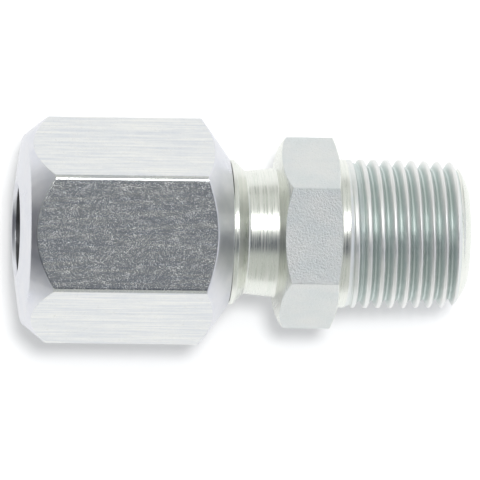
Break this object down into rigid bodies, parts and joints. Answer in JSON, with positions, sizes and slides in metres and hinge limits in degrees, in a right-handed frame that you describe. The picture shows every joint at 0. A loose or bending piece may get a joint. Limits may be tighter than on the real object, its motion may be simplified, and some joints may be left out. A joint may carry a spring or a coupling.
{
  "type": "straight male pipe fitting",
  "caption": "Straight steel tube fitting with a long hexagonal union nut and a ring inside, and a taper male pipe thread on a hexagon body.",
  "frame": {"origin": "on the axis, where it meets the stud side of the body hexagon", "axes": "+X along the axis out of the threaded stud, +Z square to one flat of each hexagon"},
  "size_m": [0.064, 0.032, 0.028],
  "materials": {
    "body_zinc": "zinc plated, fine turned",
    "ring_steel": "hardened, phosphated",
    "nut_zinc": "zinc plated, drawn bar flats"
  },
  "bodies": {
    "body": {"stud_body": "body_zinc"},
    "ring": {"cutting_ring": "ring_steel"},
    "nut": {"union_nut": "nut_zinc"}
  },
  "joints": [
    {"name": "ring_travel", "type": "slide", "parent": "body", "child": "ring", "axis": [-1, 0, 0], "range_m": [0, 0.00901]},
    {"name": "nut_turn", "type": "hinge", "parent": "ring", "child": "nut", "pos_m": [-0.03, 0, 0], "axis": [-1, 0, 0], "range_deg": [0, 2160]}
  ],
  "couplings": [
    {"joint": "ring_travel", "follows": "nut_turn", "m_per_rad": 0.00023873}
  ]
}
